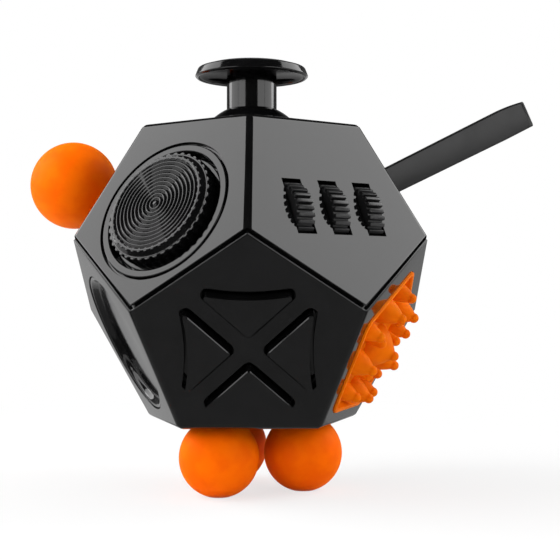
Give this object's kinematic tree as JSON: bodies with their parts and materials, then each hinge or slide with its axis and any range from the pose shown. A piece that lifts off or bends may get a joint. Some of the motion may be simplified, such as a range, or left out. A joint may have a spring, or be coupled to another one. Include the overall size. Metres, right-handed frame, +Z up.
{
  "type": "fidget toy",
  "caption": "Hand-sized dodecahedron desk toy with a joystick, dial, gears, buttons, switches and soft silicone pieces, standing on silicone balls.",
  "frame": {"origin": "on the table, under the middle of the body", "axes": "+Z up along the joystick, the cross pad faces -Y, the flick tab points to +X"},
  "size_m": [0.0827, 0.055, 0.0661],
  "materials": {
    "casing_plastic": "polished moulding",
    "black_plastic": "satin moulding",
    "inner_plastic": "as moulded",
    "orange_silicone": "soft silicone",
    "orange_plastic": "satin moulding",
    "black_silicone": "soft silicone",
    "milky_silicone": "soft silicone",
    "steel": "plain",
    "felt": "felt"
  },
  "bodies": {
    "casing": {"upper_casing": "casing_plastic", "lower_casing": "casing_plastic", "joystick_cradle": "inner_plastic", "joystick_screws": "steel", "dial_bezel": "casing_plastic", "dial_washer": "felt", "gear_axle": "steel", "gear_cradle": "inner_plastic", "gear_screws": "steel", "pad_sheet": "milky_silicone", "pad_pan": "inner_plastic", "massage_pad": "orange_silicone", "massage_washer": "steel", "thumb_dish": "casing_plastic", "side_ball": "orange_silicone", "side_ball_washer": "steel", "tab_anchor": "black_silicone", "foot_ball_1": "orange_silicone", "foot_ball_2": "orange_silicone", "foot_ball_3": "orange_silicone", "foot_plate": "steel", "rocker_frame_box": "casing_plastic", "rocker_axle": "steel", "rocker_leaf": "steel", "click_sheet": "milky_silicone", "click_pan": "inner_plastic", "slide_plate": "casing_plastic", "slide_keeper": "inner_plastic"},
    "gimbal": {"joystick_gimbal": "steel"},
    "joystick": {"joystick_cap": "black_plastic", "joystick_stem": "black_plastic"},
    "dial": {"dial_disc": "black_plastic", "dial_clip": "steel"},
    "gear_1": {"gear_wheel_1": "black_plastic"},
    "gear_2": {"gear_wheel_2": "black_plastic"},
    "gear_3": {"gear_wheel_3": "black_plastic"},
    "pad_top": {"pad_button_top": "black_plastic"},
    "pad_right": {"pad_button_right": "black_plastic"},
    "pad_bottom": {"pad_button_bottom": "black_plastic"},
    "pad_left": {"pad_button_left": "black_plastic"},
    "click_1": {"click_button_1": "orange_plastic"},
    "click_2": {"click_button_2": "black_plastic"},
    "click_3": {"click_button_3": "black_plastic"},
    "click_4": {"click_button_4": "black_plastic"},
    "click_5": {"click_button_5": "black_plastic"},
    "rocker": {"rocker": "black_plastic"},
    "slider": {"slide_knob": "orange_plastic"},
    "tab": {"flick_tab": "black_silicone"}
  },
  "joints": [
    {"name": "joystick_tilt_side", "type": "hinge", "parent": "casing", "child": "gimbal", "pos_m": [0, 0, 0.05045], "axis": [0, 1, 0], "range_deg": [-12, 12], "stiffness_Nm_per_rad": 0.03},
    {"name": "joystick_tilt_front", "type": "hinge", "parent": "gimbal", "child": "joystick", "pos_m": [0, 0, 0.05045], "axis": [1, 0, 0], "range_deg": [-12, 12], "stiffness_Nm_per_rad": 0.03},
    {"name": "dial_spin", "type": "hinge", "parent": "casing", "child": "dial", "pos_m": [-0.01218, -0.01677, 0.042], "axis": [-0.5257, -0.7236, 0.4472], "continuous": true},
    {"name": "gear_1_spin", "type": "hinge", "parent": "casing", "child": "gear_1", "pos_m": [0.00522, -0.0179, 0.04075], "axis": [0.809, 0.5878, 0], "continuous": true},
    {"name": "gear_2_spin", "type": "hinge", "parent": "casing", "child": "gear_2", "pos_m": [0.01032, -0.0142, 0.04075], "axis": [0.809, 0.5878, 0], "continuous": true},
    {"name": "gear_3_spin", "type": "hinge", "parent": "casing", "child": "gear_3", "pos_m": [0.01541, -0.0105, 0.04075], "axis": [0.809, 0.5878, 0], "continuous": true},
    {"name": "pad_top_press", "type": "slide", "parent": "casing", "child": "pad_top", "axis": [0, 0.8944, 0.4472], "range_m": [0, 0.001], "stiffness_N_per_m": 800},
    {"name": "pad_right_press", "type": "slide", "parent": "casing", "child": "pad_right", "axis": [0, 0.8944, 0.4472], "range_m": [0, 0.001], "stiffness_N_per_m": 800},
    {"name": "pad_bottom_press", "type": "slide", "parent": "casing", "child": "pad_bottom", "axis": [0, 0.8944, 0.4472], "range_m": [0, 0.001], "stiffness_N_per_m": 800},
    {"name": "pad_left_press", "type": "slide", "parent": "casing", "child": "pad_left", "axis": [0, 0.8944, 0.4472], "range_m": [0, 0.001], "stiffness_N_per_m": 800},
    {"name": "click_1_press", "type": "slide", "parent": "casing", "child": "click_1", "axis": [-0.5257, -0.7236, 0.4472], "range_m": [0, 0.001], "stiffness_N_per_m": 800},
    {"name": "click_2_press", "type": "slide", "parent": "casing", "child": "click_2", "axis": [-0.5257, -0.7236, 0.4472], "range_m": [0, 0.001], "stiffness_N_per_m": 800},
    {"name": "click_3_press", "type": "slide", "parent": "casing", "child": "click_3", "axis": [-0.5257, -0.7236, 0.4472], "range_m": [0, 0.001], "stiffness_N_per_m": 800},
    {"name": "click_4_press", "type": "slide", "parent": "casing", "child": "click_4", "axis": [-0.5257, -0.7236, 0.4472], "range_m": [0, 0.001], "stiffness_N_per_m": 800},
    {"name": "click_5_press", "type": "slide", "parent": "casing", "child": "click_5", "axis": [-0.5257, -0.7236, 0.4472], "range_m": [0, 0.001], "stiffness_N_per_m": 800},
    {"name": "rocker_flip", "type": "hinge", "parent": "casing", "child": "rocker", "pos_m": [0, 0.01807, 0.04151], "axis": [-1, 0, 0], "range_deg": [-18, 0]},
    {"name": "slider_slide", "type": "slide", "parent": "casing", "child": "slider", "axis": [-0.809, -0.5878, 0], "range_m": [0, 0.007]},
    {"name": "tab_flick", "type": "hinge", "parent": "casing", "child": "tab", "pos_m": [0.01778, 0.00578, 0.04607], "axis": [-0.4253, -0.1382, 0.8944], "range_deg": [-20, 20], "stiffness_Nm_per_rad": 0.01}
  ]
}
